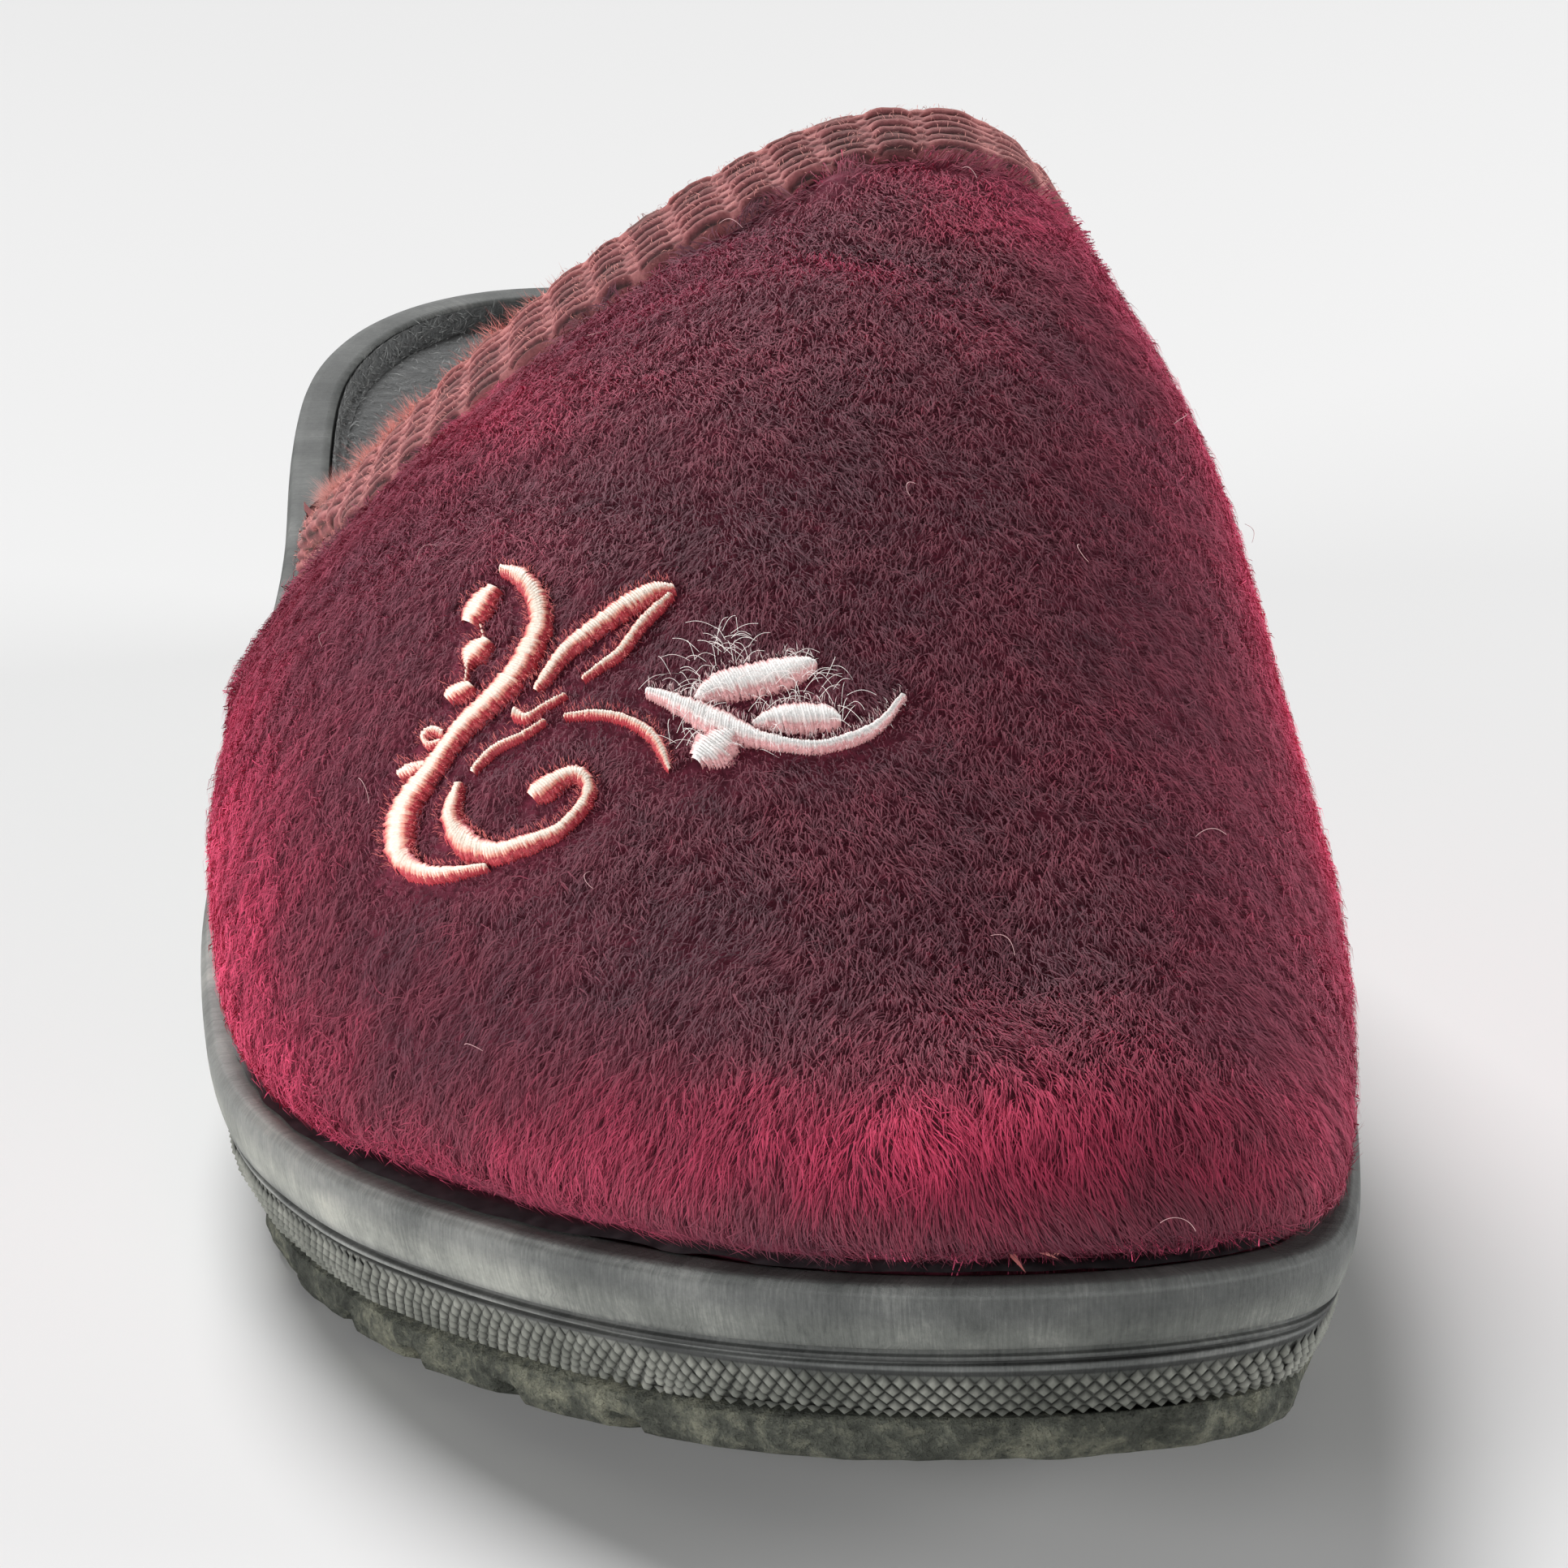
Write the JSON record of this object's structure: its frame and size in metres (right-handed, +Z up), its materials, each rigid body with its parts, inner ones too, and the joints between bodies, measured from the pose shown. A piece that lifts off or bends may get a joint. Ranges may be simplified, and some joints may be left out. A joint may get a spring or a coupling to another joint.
{
  "type": "clog slipper",
  "caption": "Right-foot clog slipper: hollow plush vamp with a knitted collar band, felt insole and moulded wedge sole with a lugged tread; open heel.",
  "frame": {"origin": "middle of the slipper's outer box, on the floor", "axes": "+X to the inner side of the right foot, +Y to the heel, +Z up"},
  "size_m": [0.0946, 0.2558, 0.081],
  "materials": {
    "tread": "matte, rough moulded",
    "sole": "matte, finely striated and diamond knurled",
    "felt": "matted felt",
    "plush": "brushed plush pile",
    "knit": "rib knit",
    "lining": "short fleece",
    "thread": "satin stitch thread"
  },
  "bodies": {
    "root": {"outsole": "tread", "midsole": "sole", "insole": "felt", "upper": "plush", "collar_binding": "knit"}
  },
  "joints": []
}
